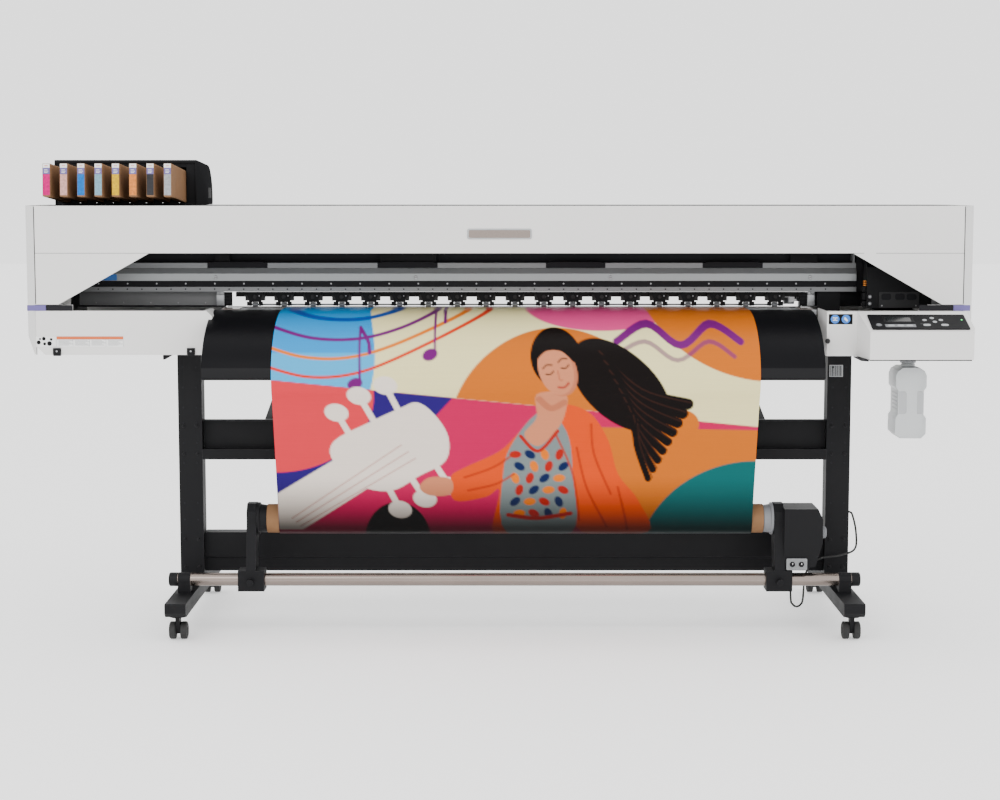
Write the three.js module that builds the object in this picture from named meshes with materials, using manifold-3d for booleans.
// Wide-format roll-to-roll graphics printer on a caster stand, with a bank of ink packs on top
// and a powered take-up in front. Millimetres, X to the operator's right, Y to the rear, Z up,
// origin on the floor under the middle of the overall width.
import * as THREE from 'three';
import { mergeVertices } from 'three/addons/utils/BufferGeometryUtils.js';
import Module from 'manifold-3d';

const wasm = await Module();
wasm.setup();

// ---- Driving dimensions -------------------------------------------------------------------
const gap = 0.3;               // between pieces that touch
const runClearance = 1;        // between pieces that slide or turn
const sheet = 3;               // sheet-metal thickness
const wall = 4;                // moulded cover thickness

const overallWidth = 2775;
const endTaper = 55.5;         // how far each end cover swells past the front panel
const bodyFront = -200;
const bodyRear = 290;
const taperDepth = 140;
const bodyBottom = 803;
const lowerTop = 930;
const hoodBottom = 948;
const hoodSeam = 1095;         // upper edge of the opening in the hood
const bodyTop = 1230;

const standCentre = 43.75;
const columnSpacing = 1919.5;
const columnWidth = 70;
const columnDepth = 60;
const columnFront = -56;
const footWidth = 60;
const footLength = 770;
const footBottom = 73;
const footTop = 112;
const channelBottom = 480;
const channelTop = 597;
const lowBeamBottom = 140;
const lowBeamTop = 258;

const wheelDiameter = 50;
const wheelWidth = 19;
const casterSlab = 12;
const casterAxle = 8;
const casterInset = 50;        // swivel axis from the end of the foot
const casterTrail = 12;

const platenTop = 925;
const platenFront = -60;
const guideReach = 300;        // how far the curved front guide stands out
const guideDrop = 175;
const guideLeft = -822;
const guideRight = 932;
const feedRollerRadius = 17;
const feedRollerY = 60;
const pinchRollerRadius = 7;
const pinchCount = 19;
const pinchPitch = 86.5;
const pinchWidth = 57;
const pinchLift = 2.5;

const mediaWidth = 1372;
const mediaCentre = 46;
const mediaThickness = 1;
const coreBore = 76;
const coreDiameter = 84;
const takeupWound = 44;
const takeupY = -165;
const takeupZ = 322;
const pipeDiameter = 38;
const pipeY = -200;
const pipeZ = 148;
const pipeOverhang = 44;       // pipe past the centre of each column
const holderThickness = 28;
const supplyWound = 75;
const supplyY = 215;
const supplyZ = 590;

const railFront = 20;
const railRear = 95;
const railBottom = 974;
const railLeft = -1260;
const railRight = 1062;
const carriageWidth = 190;

const packCount = 8;
const packPitch = 49.3;
const packWidth = 22;
const packHeight = 95;
const packLength = 330;
const packFront = -215;
const packTilt = THREE.MathUtils.degToRad(4);
const packRise = 121;          // front top edge of a pack above the deck
const packTopFront = bodyTop + packRise;
const firstPackX = -1290;
const inkHousingFront = 50;
const inkHousingRear = 380;
const inkHousingRise = 134;
const inkHousingTop = bodyTop + inkHousingRise;

const bottleWidth = 87;
const bottleDepth = 118;
const bottleHeight = 227;
const bottleX = 1174.5;
const bottleY = -250;

// ---- Materials ----------------------------------------------------------------------------
const paints = {
  cover: [0xdad9d7, 0.45, 0], coverShade: [0xbfc0c0, 0.5, 0], dark: [0x2a2b2f, 0.55, 0],
  stand: [0x2c2d31, 0.5, 0.3], guide: [0x131316, 0.4, 0.1], rail: [0x8a8c8e, 0.35, 0.8],
  steel: [0x9b9189, 0.3, 0.9], rubber: [0x1b1b1c, 0.8, 0], kraft: [0x846453, 0.9, 0],
  media: [0xf2f2f0, 0.5, 0], bottle: [0xc9ccce, 0.35, 0], grey: [0x77797c, 0.5, 0.2],
};

const model = new THREE.Group();

// ---- Helpers ------------------------------------------------------------------------------
const toSolid = (geometry) => {
  const bare = geometry.index ? geometry.toNonIndexed() : geometry.clone();
  bare.deleteAttribute('normal');
  bare.deleteAttribute('uv');
  const merged = mergeVertices(bare, 1e-4);
  return new wasm.Manifold(new wasm.Mesh({
    numProp: 3,
    vertProperties: new Float32Array(merged.attributes.position.array),
    triVerts: new Uint32Array(merged.index.array),
  }));
};

const toGeometry = (solid) => {
  const mesh = solid.getMesh();
  const geometry = new THREE.BufferGeometry();
  geometry.setAttribute('position', new THREE.BufferAttribute(mesh.vertProperties, 3));
  geometry.setIndex(new THREE.BufferAttribute(mesh.triVerts, 1));
  return geometry;
};

const join = (first, ...rest) =>
  toGeometry(rest.reduce((solid, other) => solid.add(toSolid(other)), toSolid(first)));
const cut = (first, ...rest) =>
  toGeometry(rest.reduce((solid, other) => solid.subtract(toSolid(other)), toSolid(first)));

const addPiece = (name, geometry, paint, parent = model) => {
  const [color, roughness, metalness] = paints[paint];
  const mesh = new THREE.Mesh(geometry, new THREE.MeshStandardMaterial({ color, roughness, metalness }));
  mesh.name = name;
  parent.add(mesh);
  return mesh;
};

const box = (x0, x1, y0, y1, z0, z1) =>
  new THREE.BoxGeometry(x1 - x0, y1 - y0, z1 - z0)
    .translate((x0 + x1) / 2, (y0 + y1) / 2, (z0 + z1) / 2);

const outline = (points) => new THREE.Shape(points.map(([a, b]) => new THREE.Vector2(a, b)));

// A (Y, Z) outline swept along X, an (X, Z) outline along Y, and an (X, Y) outline along Z.
const alongX = (points, x0, x1) => {
  const turn = new THREE.Matrix4().makeBasis(
    new THREE.Vector3(0, 1, 0), new THREE.Vector3(0, 0, 1), new THREE.Vector3(1, 0, 0));
  return new THREE.ExtrudeGeometry(outline(points), { depth: x1 - x0, bevelEnabled: false })
    .applyMatrix4(turn).translate(x0, 0, 0);
};
const alongY = (points, y0, y1) => {
  const turn = new THREE.Matrix4().makeBasis(
    new THREE.Vector3(1, 0, 0), new THREE.Vector3(0, 0, 1), new THREE.Vector3(0, -1, 0));
  return new THREE.ExtrudeGeometry(outline(points), { depth: y1 - y0, bevelEnabled: false })
    .applyMatrix4(turn).translate(0, y1, 0);
};
const alongZ = (points, z0, z1) =>
  new THREE.ExtrudeGeometry(outline(points), { depth: z1 - z0, bevelEnabled: false })
    .translate(0, 0, z0);

const rodX = (radius, x0, x1, y, z, sides = 24) =>
  new THREE.CylinderGeometry(radius, radius, x1 - x0, sides)
    .rotateZ(Math.PI / 2).translate((x0 + x1) / 2, y, z);
const rodY = (radius, x, y0, y1, z, sides = 24) =>
  new THREE.CylinderGeometry(radius, radius, y1 - y0, sides).translate(x, (y0 + y1) / 2, z);
const rodZ = (radius, x, y, z0, z1, sides = 24) =>
  new THREE.CylinderGeometry(radius, radius, z1 - z0, sides)
    .rotateX(Math.PI / 2).translate(x, y, (z0 + z1) / 2);

// A turned piece about an axis along X: profile points are [x, radius].
const turnedX = (profile, y, z, sides = 24) => {
  const points = profile.map(([x, radius]) => new THREE.Vector2(radius, x));
  return new THREE.LatheGeometry(points, sides).rotateZ(-Math.PI / 2).translate(0, y, z);
};

// A strip of even thickness laid on the left of a (Y, Z) path.
const strip = (path, thickness) => {
  const side = path.map(([y, z], i) => {
    const [y0, z0] = path[Math.max(i - 1, 0)];
    const [y1, z1] = path[Math.min(i + 1, path.length - 1)];
    const length = Math.hypot(y1 - y0, z1 - z0);
    return [y - (z1 - z0) / length * thickness, z + (y1 - y0) / length * thickness];
  });
  return [...path, ...side.reverse()];
};

// ---- Shared places ------------------------------------------------------------------------
const halfWidth = overallWidth / 2;
const frontHalf = halfWidth - endTaper;
const columnX = [standCentre - columnSpacing / 2, standCentre + columnSpacing / 2];
const sides = ['left', 'right'];
const columnRear = columnFront + columnDepth;
const casterYs = [casterInset - footLength / 2, footLength / 2 - casterInset];
const mediaLeft = mediaCentre - mediaWidth / 2;
const mediaRight = mediaCentre + mediaWidth / 2;
const feedRollerZ = platenTop - feedRollerRadius;
const webTop = platenTop + gap + mediaThickness;

// ---- Stand: two columns on feet, a channel and a low beam between them ---------------------
const foot = (x) => {
  const halfFoot = footLength / 2;
  const nose = 12;
  const side = [
    [-halfFoot, footBottom + nose], [-halfFoot + nose, footBottom], [halfFoot - nose, footBottom],
    [halfFoot, footBottom + nose], [halfFoot, footTop - 4], [halfFoot - 4, footTop],
    [-halfFoot + 4, footTop], [-halfFoot, footTop - 4],
  ];
  return alongX(side, x - footWidth / 2, x + footWidth / 2);
};

const column = (x) => {
  const outer = box(x - columnWidth / 2, x + columnWidth / 2, columnFront, columnRear,
    footTop + gap, bodyBottom - gap);
  const inner = box(x - columnWidth / 2 + sheet, x + columnWidth / 2 - sheet, columnFront + sheet,
    columnRear - sheet, footTop - 1, bodyBottom + 1);
  return cut(outer, inner);
};

columnX.forEach((x, i) => {
  addPiece(`${sides[i]}_column`, column(x), 'stand');
  addPiece(`${sides[i]}_foot`, foot(x), 'stand');
});

const spanLeft = columnX[0] + columnWidth / 2 + gap;
const spanRight = columnX[1] - columnWidth / 2 - gap;

const crossChannel = () => {
  const lip = 31;              // height of the front lip
  const back = columnFront + 34;
  const section = [
    [columnFront, channelBottom], [columnFront + sheet, channelBottom],
    [columnFront + sheet, channelBottom + lip - sheet], [back, channelBottom + lip - sheet],
    [back, channelTop], [columnFront + 12, channelTop], [columnFront + 12, channelTop - sheet],
    [back - sheet, channelTop - sheet], [back - sheet, channelBottom + lip],
    [columnFront, channelBottom + lip],
  ];
  return alongX(section, spanLeft, spanRight);
};
addPiece('cross_channel', crossChannel(), 'stand');

const lowBeam = () => {
  const face = columnFront + 22;
  const rear = face + 50;
  const crease = lowBeamBottom + 45;
  const section = [
    [face, lowBeamTop], [face, crease], [face + 10, crease - 8], [face + 10, lowBeamBottom],
    [rear, lowBeamBottom], [rear, lowBeamTop],
  ];
  const hollow = [
    [face + sheet, lowBeamTop - sheet], [face + sheet, crease + 2],
    [face + 10 + sheet, crease - 6], [face + 10 + sheet, lowBeamBottom + sheet],
    [rear - sheet, lowBeamBottom + sheet], [rear - sheet, lowBeamTop - sheet],
  ];
  return cut(alongX(section, spanLeft, spanRight), alongX(hollow, spanLeft - 1, spanRight + 1));
};
addPiece('low_beam', lowBeam(), 'stand');

// ---- Twin-wheel casters, one at each end of each foot ---------------------------------------
const caster = (name, x, y) => {
  const wheelZ = wheelDiameter / 2;
  const wheelY = y + casterTrail;
  const plateBottom = footBottom - gap - 6;
  const fork = cut(
    join(
      rodZ(24, x, y, plateBottom, footBottom - gap),
      alongX([[y - 14, plateBottom + 2], [wheelY - 10, wheelZ - 8], [wheelY + 10, wheelZ - 8],
        [y + 22, plateBottom + 2]], x - casterSlab / 2, x + casterSlab / 2),
    ),
    rodX(casterAxle / 2 + runClearance / 2, x - casterSlab, x + casterSlab, wheelY, wheelZ, 16),
  );
  addPiece(`${name}_caster_fork`, fork, 'dark');
  const inner = casterSlab / 2 + runClearance;
  const outer = inner + wheelWidth;
  const radius = wheelDiameter / 2;
  const profile = [
    [-outer, 0], [-outer, radius - 8], [-outer + 3, radius], [-inner - 2, radius],
    [-inner, radius - 2], [-inner, casterAxle / 2], [inner, casterAxle / 2], [inner, radius - 2],
    [inner + 2, radius], [outer - 3, radius], [outer, radius - 8], [outer, 0],
  ];
  addPiece(`${name}_caster_wheels`, turnedX(profile, wheelY, wheelZ, 20).translate(x, 0, 0), 'rubber');
};
columnX.forEach((x, i) => {
  caster(`front_${sides[i]}`, x, casterYs[0]);
  caster(`rear_${sides[i]}`, x, casterYs[1]);
});

// ---- Base beam that carries the whole body ---------------------------------------------------
const beamFront = -50;
const beamRear = 200;
const beamBottom = bodyBottom + wall + gap;
const beamTop = feedRollerZ - feedRollerRadius - 4;
const beamHalf = frontHalf - 30;
const baseBeam = () => {
  const section = [
    [beamFront, beamBottom], [beamRear, beamBottom], [beamRear, beamTop], [beamFront, beamTop],
  ];
  const hollow = [
    [beamFront + sheet, beamBottom + sheet], [beamRear - sheet, beamBottom + sheet],
    [beamRear - sheet, beamTop - sheet], [beamFront + sheet, beamTop - sheet],
  ];
  return cut(alongX(section, -beamHalf, beamHalf), alongX(hollow, -beamHalf - 1, beamHalf + 1));
};
addPiece('base_beam', baseBeam(), 'stand');

// A raised rim closes the gap between a lower cover and the foot of the hood.
const hoodOpening = [[-1266, hoodBottom], [-1003, hoodSeam], [1012, hoodSeam], [1270, hoodBottom]];
const rimSetback = 6;
const rim = (x0, x1) => box(x0, x1, bodyFront + rimSetback, bodyFront + rimSetback + wall,
  lowerTop - 6, hoodBottom - runClearance);

// ---- Lower covers on each side of the media path ---------------------------------------------
// Each is a tray open at the top and at the back part of its inner end, where the beam passes.
const lowerLeftCover = () => {
  const inner = guideLeft - 25;
  const face = [
    [-frontHalf, lowerTop], [-frontHalf, bodyBottom + 25], [-frontHalf + 25, bodyBottom],
    [inner, bodyBottom], [guideLeft - 3, lowerTop - 16], [inner + 4, lowerTop],
  ];
  const shell = alongY(face, bodyFront, bodyRear);
  const room = box(-frontHalf + wall, inner - wall, bodyFront + wall, bodyRear - wall,
    bodyBottom + wall, lowerTop + 1);
  const passage = box(inner - wall - 1, guideLeft, beamFront - 12, bodyRear + 1,
    bodyBottom + wall, lowerTop + 1);
  return join(cut(shell, room, passage),
    box(
      -frontHalf, hoodOpening[0][0] + 40, bodyFront + 1, bodyFront + rimSetback + wall,
      lowerTop - 8, lowerTop - 4,
    ),
    rim(-frontHalf, hoodOpening[0][0] + 40));
};
addPiece('lower_left_cover', lowerLeftCover(), 'cover');

const labelFront = bodyFront - 38;     // plane beside the panel box
const panelFront = -370;
const panelLeft = 1035;
const panelRight = 1325;
const panelEdge = 881;                 // front top edge of the panel box
const inletX = 1240;
const inletZ = 850;
const lowerRightCover = () => {
  const inner = guideRight + 3;
  const plan = (inset) => [
    [inner + inset, bodyRear - inset], [inner + inset, labelFront + inset],
    [panelLeft - 14 + inset, labelFront + inset], [panelLeft + inset, panelFront + inset],
    [panelRight - inset, panelFront + inset], [frontHalf - inset, panelFront + 26 + inset],
    [frontHalf - inset, bodyRear - inset],
  ];
  const shell = alongZ(plan(0), bodyBottom, lowerTop);
  const roof = alongX([
    [panelFront - 1, panelEdge - wall - 1], [labelFront, lowerTop - wall], [bodyFront, lowerTop - wall],
    [bodyFront, lowerTop + 2], [panelFront - 1, lowerTop + 2],
  ], inner - 1, frontHalf + 1);
  const room = cut(alongZ(plan(wall), bodyBottom + wall, lowerTop + 1), roof);
  const passage = box(inner - 1, inner + wall + 1, beamFront - 12, bodyRear + 1,
    bodyBottom + wall, lowerTop + 1);
  const slope = alongX([
    [panelFront, panelEdge], [labelFront, lowerTop], [labelFront, lowerTop + 2],
    [panelFront - 1, lowerTop + 2], [panelFront - 1, panelEdge],
  ], panelLeft - 30, frontHalf + 1);
  const inletPocket = box(
    inletX - 15.5, inletX + 15.5, bodyRear - 5, bodyRear + 1, inletZ - 12.5, inletZ + 12.5,
  );
  return join(cut(shell, room, passage, slope, inletPocket),
    box(
      hoodOpening[3][0] - 40, frontHalf, bodyFront - 10, bodyFront + rimSetback + wall,
      lowerTop - wall, lowerTop - 1,
    ),
    rim(hoodOpening[3][0] - 40, frontHalf));
};
addPiece('lower_right_cover', lowerRightCover(), 'cover');

const powerInlet = () => cut(
  join(box(inletX - 15, inletX + 15, bodyRear - 26, bodyRear, inletZ - 12, inletZ + 12),
    box(inletX - 20, inletX + 20, bodyRear + gap, bodyRear + 2.5, inletZ - 17, inletZ + 17),
    box(inletX - 14, inletX + 14, bodyRear - 1, bodyRear + 1, inletZ - 11, inletZ + 11)),
  box(inletX - 12, inletX + 12, bodyRear - 18, bodyRear + 3, inletZ - 8, inletZ + 8),
);
addPiece('power_inlet', powerInlet(), 'dark');

// ---- Control panel set in the slanted top of the panel box -----------------------------------
const slopeAngle = Math.atan2(lowerTop - panelEdge, labelFront - panelFront);
const panel = new THREE.Group();
panel.position.set((panelLeft + panelRight) / 2, panelFront, panelEdge);
panel.rotation.x = slopeAngle;
model.add(panel);
const padWidth = 274;
const padDepth = 100;
const padStart = 14;
const padThickness = 3;
const powerKeyX = -padWidth / 2 + 22;
const powerKeyY = padStart + 26;
const powerKeyRadius = 7;
const keypad = () => {
  const base = box(-padWidth / 2, padWidth / 2, padStart, padStart + padDepth, gap, padThickness);
  const key = (x, y, w, d) => box(
    x - w / 2, x + w / 2, y - d / 2, y + d / 2, padThickness - 1, padThickness + 1.2,
  );
  const keys = [];
  for (let i = 0; i < 3; i += 1) keys.push(key(-80 + i * 26, padStart + 22, 18, 8));
  const cursorX = 42;
  const cursorY = padStart + 52;
  keys.push(key(cursorX - 22, cursorY, 14, 14), key(cursorX + 22, cursorY, 14, 14));
  keys.push(key(cursorX, cursorY + 18, 14, 14), key(cursorX, cursorY - 18, 14, 14));
  keys.push(key(cursorX - 30, cursorY - 32, 20, 9), key(cursorX + 30, cursorY - 32, 20, 9));
  const display = box(-95, -15, padStart + 44, padStart + 76, padThickness - 1, padThickness + 2);
  const keyHole = rodZ(powerKeyRadius + 0.6, powerKeyX, powerKeyY, -1, padThickness + 1, 24);
  return cut(join(base, display, ...keys), keyHole);
};
addPiece('keypad', keypad(), 'dark', panel);
const powerKey = rodZ(powerKeyRadius, powerKeyX, powerKeyY, gap + 1, padThickness + 2.5, 24);
addPiece('power_button', powerKey, 'grey', panel);

// ---- End covers: swollen shells from the bottom of the body to its top ------------------------
const endCover = (side) => {
  const edge = frontHalf + gap;
  const swell = halfWidth;
  const plan = [
    [edge, bodyFront], [swell, bodyFront + taperDepth], [swell, bodyRear], [edge, bodyRear],
    [edge, bodyRear - wall], [swell - wall, bodyRear - wall],
    [swell - wall, bodyFront + taperDepth + 2], [edge, bodyFront + wall * 3],
  ].map(([x, y]) => [side * x, y]);
  const shell = alongZ(plan, bodyBottom, bodyTop);
  const chamfer = alongY([
    [side * (swell - 45), bodyBottom - 1], [side * (swell + 1), bodyBottom - 1],
    [side * (swell + 1), bodyBottom + 45],
  ], bodyFront - 1, bodyRear + 1);
  return cut(shell, chamfer);
};
addPiece('left_end_cover', endCover(-1), 'coverShade');
addPiece('right_end_cover', endCover(1), 'coverShade');

// ---- Top and rear shell ----------------------------------------------------------------------
const rearEntryTop = 985;        // lower edge of the rear shell, above the media entry
const hingeZ = bodyTop - 10;
const hingeY = bodyFront + 12;
const hingeRoofReach = 13;       // the hood's roof behind its hinge, which swings down inside
const topCover = () => {
  const front = hingeY + Math.hypot(hingeRoofReach, bodyTop - hingeZ) + runClearance;
  const section = [
    [front, bodyTop], [front, bodyTop - 22], [front + wall, bodyTop - 22],
    [front + wall, bodyTop - wall], [bodyRear - wall, bodyTop - wall],
    [bodyRear - wall, rearEntryTop], [bodyRear, rearEntryTop], [bodyRear, bodyTop],
  ];
  return alongX(section, -frontHalf, frontHalf);
};
addPiece('top_cover', topCover(), 'dark');

// ---- Hinged front hood with its long opening ---------------------------------------------------
const hood = () => {
  const face = alongY([
    [-frontHalf, hoodBottom], [frontHalf, hoodBottom], [frontHalf, bodyTop], [-frontHalf, bodyTop],
  ], bodyFront, bodyFront + wall);
  const opening = alongY([
    [hoodOpening[0][0], hoodBottom - 1], hoodOpening[0], hoodOpening[1], hoodOpening[2],
    hoodOpening[3], [hoodOpening[3][0], hoodBottom - 1],
  ], bodyFront - 1, bodyFront + wall + 1);
  const roof = box(-frontHalf, frontHalf, bodyFront, hingeY + hingeRoofReach, bodyTop - wall, bodyTop);
  const returnLip = box(hoodOpening[1][0] + 8, hoodOpening[2][0] - 8, bodyFront, bodyFront + 24,
    hoodSeam, hoodSeam + wall);
  const pin = rodX(4, -frontHalf, frontHalf, hingeY, hingeZ, 12);
  const knuckle = box(-frontHalf, frontHalf, hingeY - 3, hingeY + 3, hingeZ, bodyTop - 1);
  return join(cut(face, opening), roof, returnLip, pin, knuckle);
};
addPiece('front_hood', hood(), 'cover');

// ---- Platen, feed roller and the curved media guides -------------------------------------------
const platenRear = feedRollerY - feedRollerRadius - runClearance;
const platen = () => {
  const section = [
    [platenFront, platenTop], [platenFront, platenTop - 12], [platenFront + 24, beamTop + gap],
    [platenRear - 26, beamTop + gap], [platenRear - 26, platenTop - 14],
    [platenRear - 6, platenTop - 14], [platenRear, platenTop - 6], [platenRear, platenTop],
  ];
  return alongX(section, guideLeft, guideRight);
};
addPiece('platen', platen(), 'grey');

const feedEnds = [guideLeft + 40, guideRight - 60];
const feedRoller = () => turnedX([
  [feedEnds[0] - 30, 0], [feedEnds[0] - 30, 8], [feedEnds[0], 8], [feedEnds[0], feedRollerRadius],
  [feedEnds[1], feedRollerRadius], [feedEnds[1], 8], [feedEnds[1] + 30, 8], [feedEnds[1] + 30, 0],
], feedRollerY, feedRollerZ, 36);
addPiece('feed_roller', feedRoller(), 'steel');

const arc = (centreY, centreZ, reach, drop, direction, steps = 14) =>
  Array.from({ length: steps + 1 }, (_, i) => {
    const angle = i / steps * Math.PI / 2;
    return [centreY + direction * reach * Math.sin(angle), centreZ + drop * Math.cos(angle)];
  });
const guideSurface = arc(platenFront - gap, platenTop - guideDrop, guideReach, guideDrop, -1);
const frontGuide = () => {
  const under = guideSurface.map(([y, z]) => {
    const t = (platenTop - z) / guideDrop;
    return [y + wall * t, z - wall * (1 - t)];
  });
  const noseY = guideSurface.at(-1)[0];
  const lipZ = guideSurface.at(-1)[1];
  const section = [
    ...guideSurface, [noseY + 6, lipZ - 14], [noseY + 60, lipZ - 20],
    [noseY + 60, lipZ - 20 + sheet], [noseY + 12, lipZ - 11], ...under.reverse(),
  ];
  return alongX(section, guideLeft, guideRight);
};
addPiece('front_guide', frontGuide(), 'guide');

const rearGuideStart = feedRollerY + feedRollerRadius + runClearance;
const rearReach = 140;
const rearDrop = 150;
const rearSurface = arc(rearGuideStart + 40, platenTop - rearDrop, rearReach, rearDrop, 1, 8);
const leverX = guideRight - 28;
const leverPivotY = 170;
const leverPivotZ = platenTop + 25;
const leverPin = 6;
const rearGuide = () => {
  const under = rearSurface.map(([y, z]) => {
    const t = (platenTop - z) / rearDrop;
    return [y - wall * t, z - wall * (1 - t)];
  });
  const section = [
    [rearGuideStart, platenTop], ...rearSurface, ...under.reverse(), [rearGuideStart, platenTop - wall],
  ];
  const post = alongX([
    [leverPivotY - 20, beamTop + 8], [leverPivotY + 24, beamTop + 8],
    [leverPivotY + 10, leverPivotZ + 10], [leverPivotY - 10, leverPivotZ + 10],
  ], leverX + 9, leverX + 13);
  const pin = rodX(leverPin, leverX - 4, leverX + 10, leverPivotY, leverPivotZ, 20);
  return join(alongX(section, guideLeft, guideRight), post, pin);
};
addPiece('rear_guide', rearGuide(), 'guide');

// ---- Carriage rail and the frames that hold it ---------------------------------------------------
const frameX = [railLeft - gap - 6, frontHalf - 26];
const rail = () => {
  const section = [
    [railFront, railBottom], [railFront, railBottom + 14], [railFront + 6, railBottom + 14],
    [railFront + 6, railBottom + 32], [railFront, railBottom + 32], [railFront, railBottom + 54],
    [railFront + 12, railBottom + 70], [railFront + 12, railBottom + 86],
    [railRear, railBottom + 121], [railRear, railBottom],
  ];
  const hollow = [
    [railFront + 14, railBottom + 8], [railFront + 14, railBottom + 50],
    [railFront + 24, railBottom + 80], [railRear - 8, railBottom + 104], [railRear - 8, railBottom + 8],
  ];
  const tail = box(railRight - 1, frameX[1] - gap, railFront + 6, railRear - 20,
    railBottom + 14, railBottom + 32);
  const body = cut(alongX(section, railLeft, railRight), alongX(hollow, railLeft - 1, railRight + 1));
  return join(body,
    box(railRight - 6, railRight, railFront + 8, railRear - 2, railBottom + 4, railBottom + 60), tail);
};
addPiece('carriage_rail', rail(), 'rail');

const sideFrame = (x) => alongX([
  [-30, beamTop + gap], [170, beamTop + gap], [170, bodyTop - 40], [-30, bodyTop - 40],
], x, x + 6);
addPiece('left_side_frame', sideFrame(frameX[0]), 'stand');
addPiece('right_side_frame', sideFrame(frameX[1]), 'stand');

// ---- Carriage, maintenance station and belt side ---------------------------------------------
const parkX = 1172;              // middle of the carriage at rest
const carriage = () => {
  const half = carriageWidth / 2;
  const bottom = platenTop + 5;
  const bodyRearY = railFront - 18;
  const shellBlock = alongX([
    [bodyRearY - 72, bottom], [bodyRearY, bottom], [bodyRearY, bottom + 150],
    [bodyRearY - 40, bottom + 150], [bodyRearY - 72, bottom + 120],
  ], parkX - half, parkX + half);
  const shoe = box(parkX - 70, parkX + 70, bodyRearY - 2, railFront + 6 - gap,
    railBottom + 14 + runClearance, railBottom + 32 - runClearance);
  return join(shellBlock, shoe);
};
addPiece('print_carriage', carriage(), 'dark');

const stationTop = 922;
const station = () => {
  const tray = box(parkX - 61, parkX + 60, -44, 34, beamTop + gap, stationTop);
  const plate = box(parkX - 61, parkX + 60, 26, 34, stationTop - 1, railBottom - 2);
  const sidePlate = box(948, 1015, 26, 34, beamTop + gap, railBottom - 2);
  const link = box(1010, parkX - 55, 26, 34, beamTop + gap, beamTop + 20);
  return join(tray, plate, link, sidePlate);
};
addPiece('maintenance_station', station(), 'grey');

// ---- Pinch rollers, the arms that carry them and the lever that lifts them ---------------------
const firstPinchX = mediaCentre - pinchPitch * (pinchCount - 1) / 2;
const pinchX = Array.from({ length: pinchCount }, (_, i) => firstPinchX + i * pinchPitch);
const pinchZ = webTop + gap + pinchRollerRadius;
const pinchTop = railBottom - pinchLift - 1.5;
const pinchArms = () => {
  const bar = box(
    pinchX[0] - 60, guideRight - 12, feedRollerY + 12, feedRollerY + 30, pinchTop - 14, pinchTop,
  );
  const arms = pinchX.map((x) => {
    const plate = alongX([
      [feedRollerY - 14, pinchTop - 24], [feedRollerY - 14, pinchTop - 8], [feedRollerY - 8, pinchTop],
      [feedRollerY + 14, pinchTop], [feedRollerY + 14, pinchTop - 24],
    ], x - pinchWidth / 2, x + pinchWidth / 2);
    const leg = (x0) => alongX([
      [feedRollerY - 8, pinchZ - 4], [feedRollerY + 8, pinchZ - 4],
      [feedRollerY + 14, pinchTop - 22], [feedRollerY - 14, pinchTop - 22],
    ], x0, x0 + 6);
    return [plate, leg(x - 17), leg(x + 11)];
  }).flat();
  const axleHole = rodX(3.2, pinchX[0] - 40, pinchX.at(-1) + 40, feedRollerY, pinchZ, 10);
  return cut(join(bar, ...arms), axleHole);
};
addPiece('pinch_arms', pinchArms(), 'rubber');

const pinchRollers = () => {
  const axle = 2.5;
  const half = 8;
  const rings = pinchX.flatMap((x) => [
    [x - half, axle], [x - half, pinchRollerRadius], [x + half, pinchRollerRadius], [x + half, axle],
  ]);
  return turnedX([[pinchX[0] - 24, 0], [pinchX[0] - 24, axle], ...rings,
    [pinchX.at(-1) + 24, axle], [pinchX.at(-1) + 24, 0]], feedRollerY, pinchZ, 10);
};
addPiece('pinch_rollers', pinchRollers(), 'grey');

const clampLever = () => {
  const arm = alongX([
    [leverPivotY - 14, leverPivotZ - 12], [leverPivotY + 16, leverPivotZ - 12],
    [340, leverPivotZ - 26], [340, leverPivotZ - 12], [leverPivotY + 16, leverPivotZ + 12],
    [leverPivotY - 14, leverPivotZ + 12],
  ], leverX, leverX + 8);
  const grip = alongX([
    [338, leverPivotZ - 30], [368, leverPivotZ - 33], [374, leverPivotZ - 26],
    [374, leverPivotZ - 16], [368, leverPivotZ - 9], [338, leverPivotZ - 9],
  ], leverX - 12, leverX + 20);
  return cut(join(arm, grip), rodX(leverPin + 0.5, leverX - 1, leverX + 9, leverPivotY, leverPivotZ, 20));
};
addPiece('clamp_lever', clampLever(), 'grey');

// ---- Media edge guards that slide along the platen ----------------------------------------------
const mediaGuard = (x0, x1) => join(
  box(x0, x1, platenFront + 8, platenRear - 2, platenTop + gap, platenTop + 2),
  box(x0, x0 + 3, platenFront + 8, platenRear - 14, platenTop + 1, platenTop + 3.6),
);
addPiece('left_media_guard', mediaGuard(-816, -768), 'steel');
addPiece('right_media_guard', mediaGuard(884, 926), 'steel');

// ---- Ink unit: housing and eight sliding packs ---------------------------------------------------
const packZ = packTopFront - packHeight * Math.cos(packTilt);
const packPlaces = Array.from({ length: packCount }, (_, i) => firstPackX + i * packPitch);
const packBody = (margin, length) =>
  new THREE.BoxGeometry(packWidth + 2 * margin, length, packHeight + 2 * margin)
    .translate(0, length / 2, packHeight / 2);
const placePack = (geometry, x) => geometry.rotateX(-packTilt).translate(x, packFront, packZ);

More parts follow.
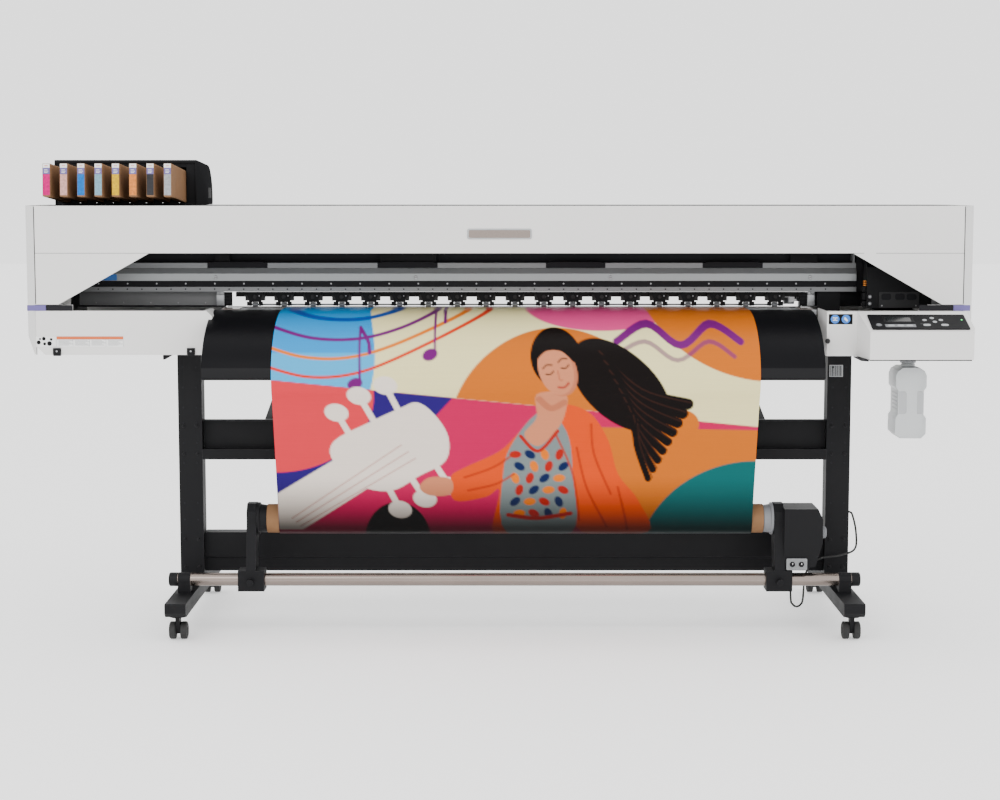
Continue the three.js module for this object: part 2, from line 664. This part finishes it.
const inkHousing = () => {
  const left = firstPackX - 34;
  const right = packPlaces.at(-1) + 43;
  const radius = 70;
  const rounded = Array.from({ length: 7 }, (_, i) => {
    const angle = i / 6 * Math.PI / 2;
    return [inkHousingRear - radius + radius * Math.sin(angle),
      inkHousingTop - 17 - 1.4 * radius * (1 - Math.cos(angle))];
  });
  const shell = alongX([
    [inkHousingFront, bodyTop + gap], [inkHousingFront, inkHousingTop - 4],
    [inkHousingFront + 4, inkHousingTop], ...rounded, [inkHousingRear, bodyTop + gap + 6],
    [inkHousingRear - 6, bodyTop + gap],
  ], left, right);
  const slots = packPlaces.map((x) => placePack(packBody(runClearance, packLength + 6), x));
  return cut(shell, ...slots);
};
addPiece('ink_housing', inkHousing(), 'dark');

const inkPack = (x) => {
  const notch = new THREE.BoxGeometry(packWidth + 2, 12, 14).translate(0, 0, 12);
  return placePack(cut(packBody(0, packLength), notch), x);
};
packPlaces.forEach((x, i) => addPiece(`ink_pack_${i + 1}`, inkPack(x), 'kraft'));

// ---- Take-up: pipe on the feet, left holder, wound core and motor unit ---------------------------
const pipe = () => {
  const left = columnX[0] - pipeOverhang;
  const right = columnX[1] + pipeOverhang;
  const radius = pipeDiameter / 2;
  const saddle = (x) => alongX([
    [pipeY - 20, footTop + gap], [pipeY + 20, footTop + gap], [pipeY + 12, pipeZ], [pipeY - 12, pipeZ],
  ], x - 18, x + 18);
  return join(rodX(radius, left, right, pipeY, pipeZ, 28),
    rodX(radius + 1.5, left - 1, left + 24, pipeY, pipeZ, 28),
    rodX(radius + 1.5, right - 24, right + 1, pipeY, pipeZ, 28), ...columnX.map(saddle));
};
addPiece('takeup_pipe', pipe(), 'steel');

const coreLeft = mediaLeft - 36;
const coreRight = mediaRight + 35;
const clampWidth = 76;
const holderProfile = (reach) => [
  [pipeY - 30, pipeZ - 28], [pipeY + 30, pipeZ - 28], [pipeY + 34, pipeZ + 34],
  [takeupY + reach, takeupZ - 10], [takeupY + reach, takeupZ + 24], [takeupY + 18, takeupZ + 46],
  [takeupY - 18, takeupZ + 46], [takeupY - reach, takeupZ + 24], [takeupY - reach, takeupZ - 10],
  [pipeY - 32, pipeZ + 34],
];
const pipeBore = (x0, x1) => rodX(pipeDiameter / 2 + runClearance / 2, x0, x1, pipeY, pipeZ, 28);
const leftArmX = coreLeft - 30 - holderThickness;
const leftHolder = () => {
  const arm = alongX(holderProfile(38), leftArmX, leftArmX + holderThickness);
  const middle = leftArmX + holderThickness / 2;
  const clamp = box(
    middle - clampWidth / 2, middle + clampWidth / 2, pipeY - 32, pipeY + 32,
    pipeZ - 30, pipeZ + 30,
  );
  const screw = rodY(9, middle, pipeY - 56, pipeY - 30, pipeZ, 20);
  const pivotHole = rodX(10.6, leftArmX + 8, leftArmX + holderThickness + 1, takeupY, takeupZ, 20);
  return cut(join(arm, clamp, screw), pipeBore(middle - 60, middle + 60), pivotHole);
};
addPiece('left_holder', leftHolder(), 'dark');

const hub = (x0, direction) => {
  const at = (d) => x0 + direction * d;
  const profile = [
    [at(-18), 0], [at(-18), 10], [at(1), 10], [at(1), takeupWound + 3], [at(9), takeupWound + 3],
    [at(16), coreBore / 2 + 1], [at(29), coreBore / 2 + 1],
    [at(29 + gap), coreBore / 2 - gap], [at(62), coreBore / 2 - 5], [at(62), 0],
  ];
  return turnedX(direction > 0 ? profile : profile.reverse(), takeupY, takeupZ, 28);
};
addPiece('left_hub', hub(coreLeft - 30, 1), 'grey');

const tubeRoll = (x0, x1, woundLeft, woundRight, wound, y, z) => {
  const core = coreDiameter / 2;
  const bore = coreBore / 2;
  return turnedX([
    [x0, bore], [x0, core], [woundLeft, core], [woundLeft, wound], [woundRight, wound],
    [woundRight, core], [x1, core], [x1, bore], [x0, bore],
  ], y, z, 36);
};
addPiece('takeup_roll',
  tubeRoll(coreLeft, coreRight, mediaLeft, mediaRight, takeupWound, takeupY, takeupZ), 'kraft');

const driveArmX = coreRight + 30;
const motorUnit = () => {
  const arm = alongX(holderProfile(38), driveArmX, driveArmX + holderThickness);
  const clamp = box(driveArmX - 24, driveArmX + 51, pipeY - 32, pipeY + 32, pipeZ - 30, pipeZ + 30);
  const top = takeupZ + 36;
  const caseBody = alongY([
    [driveArmX + holderThickness - 1, pipeZ + 30], [driveArmX + holderThickness + 90, pipeZ + 42],
    [driveArmX + holderThickness + 110, pipeZ + 110], [driveArmX + holderThickness + 110, top - 30],
    [driveArmX + holderThickness + 96, top], [driveArmX + holderThickness - 1, top],
  ], takeupY - 62, takeupY + 60);
  const plate = box(driveArmX + 33, driveArmX + 93, takeupY - 66, takeupY - 60, pipeZ + 33, pipeZ + 67);
  const screw = rodY(9, driveArmX + 13, pipeY - 56, pipeY - 30, pipeZ, 20);
  const pivotHole = rodX(10.6, driveArmX - 1, driveArmX + 20, takeupY, takeupZ, 20);
  return cut(join(arm, clamp, caseBody, plate, screw), pipeBore(driveArmX - 60, driveArmX + 80), pivotHole);
};
addPiece('motor_unit', motorUnit(), 'dark');
addPiece('drive_hub', hub(driveArmX, -1), 'grey');

const knobX = driveArmX + holderThickness + 110;
const windingKnob = () => turnedX([
  [knobX + gap, 0], [knobX + gap, 16], [knobX + 4, 18], [knobX + 15, 17], [knobX + 17, 14], [knobX + 17, 0],
], takeupY - 10, takeupZ - 40, 20);
addPiece('winding_knob', windingKnob(), 'grey');

// ---- Supply roll at the rear, on two arms of the cross channel -----------------------------------
const supplyOverhang = 40;
const supplyEnds = [mediaLeft - supplyOverhang, mediaRight + supplyOverhang];
addPiece('supply_roll',
  tubeRoll(...supplyEnds, mediaLeft, mediaRight, supplyWound, supplyY, supplyZ), 'media');
const supplyArm = (end, direction) => {
  const armFront = columnFront + 34 + gap;
  const near = end + direction * 3;
  const far = end + direction * 23;
  const plate = alongX([
    [armFront, channelBottom + 35], [armFront + 40, channelBottom + 35], [supplyY + 30, supplyZ - 40],
    [supplyY + 42, supplyZ - 20], [supplyY + 42, supplyZ + 20], [supplyY + 24, supplyZ + 40],
    [supplyY - 24, supplyZ + 40], [armFront + 40, channelTop - 4], [armFront, channelTop - 4],
  ], Math.min(near, far), Math.max(near, far));
  const inside = end - direction * 50;
  const stub = rodX(coreBore / 2 - 3, Math.min(near, inside), Math.max(near, inside), supplyY, supplyZ, 24);
  return join(plate, stub);
};
addPiece('left_supply_arm', supplyArm(supplyEnds[0], -1), 'dark');
addPiece('right_supply_arm', supplyArm(supplyEnds[1], 1), 'dark');

// ---- Media web: over the rear guide and platen, down the front guide to the take-up --------------
const mediaWeb = () => {
  const curve = (points, steps) => new THREE.CatmullRomCurve3(
    points.map(([y, z]) => new THREE.Vector3(0, y, z)), false, 'centripetal',
  ).getPoints(steps).map((p) => [p.y, p.z]);
  const leave = THREE.MathUtils.degToRad(200);
  const windRadius = takeupWound + runClearance;
  const front = arc(platenFront - gap, platenTop - guideDrop, guideReach + 1, guideDrop + gap, -1);
  const hanging = curve([
    [takeupY + windRadius * Math.cos(leave), takeupZ + windRadius * Math.sin(leave)],
    [-230, 386], [-262, 478], [-330, 658], [-357, 714], front.at(-1),
  ], 16);
  const rear = arc(rearGuideStart + 40, platenTop - rearDrop, rearReach + 1, rearDrop + gap, 1, 8);
  const [endY, endZ] = rear.at(-1);
  const reach = Math.hypot(endY - supplyY, endZ - supplyZ);
  const radius = supplyWound + runClearance;
  const meet = Math.atan2(endZ - supplyZ, endY - supplyY) - Math.acos(radius / reach);
  const path = [
    ...hanging, ...front.slice(0, -1).reverse(), ...rear,
    [supplyY + radius * Math.cos(meet), supplyZ + radius * Math.sin(meet)],
  ];
  return alongX(strip(path, mediaThickness), mediaLeft, mediaRight);
};
addPiece('media_web', mediaWeb(), 'media');

// ---- Waste bottle hanging under the right cover ---------------------------------------------------
const wasteBottle = () => {
  const half = bottleWidth / 2;
  const top = bodyBottom - 6;
  const bottom = top - bottleHeight;
  const neck = 20;
  const body = (inset, openTop) => {
    const w = half - inset;
    const waist = w - 7;
    const face = [
      [-w + 8, bottom + inset], [w - 8, bottom + inset], [w, bottom + inset + 8],
      [w, bottom + 62], [waist, bottom + 70], [waist, bottom + 128], [w, bottom + 136],
      [w, top - 34], [w - 12, top - 20 - inset], [neck - inset, top - 16 - inset],
      [neck - inset, top + openTop], [-neck + inset, top + openTop],
      [-neck + inset, top - 16 - inset], [-w + 12, top - 20 - inset], [-w, top - 34],
      [-w, bottom + 136], [-waist, bottom + 128], [-waist, bottom + 70], [-w, bottom + 62],
      [-w, bottom + inset + 8],
    ];
    return alongY(face, bottleY - bottleDepth / 2 + inset, bottleY + bottleDepth / 2 - inset)
      .translate(bottleX, 0, 0);
  };
  const neckRoom = join(
    box(
      bottleX - half - 1, bottleX + half + 1, bottleY - bottleDepth / 2 - 1, bottleY - neck,
      top - 15, top + 2,
    ),
    box(
      bottleX - half - 1, bottleX + half + 1, bottleY + neck, bottleY + bottleDepth / 2 + 1,
      top - 15, top + 2,
    ),
  );
  const hollow = cut(body(2.5, 1), join(
    box(bottleX - half, bottleX + half, bottleY - bottleDepth, bottleY - neck + 2.5, top - 18.5, top + 2),
    box(bottleX - half, bottleX + half, bottleY + neck - 2.5, bottleY + bottleDepth, top - 18.5, top + 2),
  ));
  return cut(body(0, 0), neckRoom, hollow);
};
addPiece('waste_bottle', wasteBottle(), 'bottle');

// ---- Lead from the motor unit to the stand, hanging in a short loop -------------------------------
const leadDiameter = 6;
const takeupLead = () => {
  const start = takeupY + 60 + gap;
  const columnSide = columnX[1] + columnWidth / 2 + gap;
  const route = new THREE.CatmullRomCurve3([
    [860, start + runClearance, 240], [860, start + 9, 240], [861, start + 18, 226],
    [863, start + 22, 150], [866, start + 24, 66],
    [872, start + 24, 49], [884, start + 24, 42], [896, start + 24, 49], [902, start + 24, 66],
    [910, start + 22, 145], [945, start + 18, 186],
    [1010, start + 18, 198], [1056, start + 36, 214], [1063, start + 62, 262],
    [columnSide + 16, start + 78, 308], [columnSide + 8, start + 78, 318],
    [columnSide + runClearance, start + 78, 318],
  ].map(([x, y, z]) => new THREE.Vector3(x, y, z)), false, 'centripetal');
  const section = new THREE.Shape().absarc(0, 0, leadDiameter / 2, 0, 2 * Math.PI);
  return new THREE.ExtrudeGeometry(section, {
    steps: 56, curveSegments: 8, bevelEnabled: false, extrudePath: route,
  });
};
addPiece('takeup_lead', takeupLead(), 'rubber');

export default model;
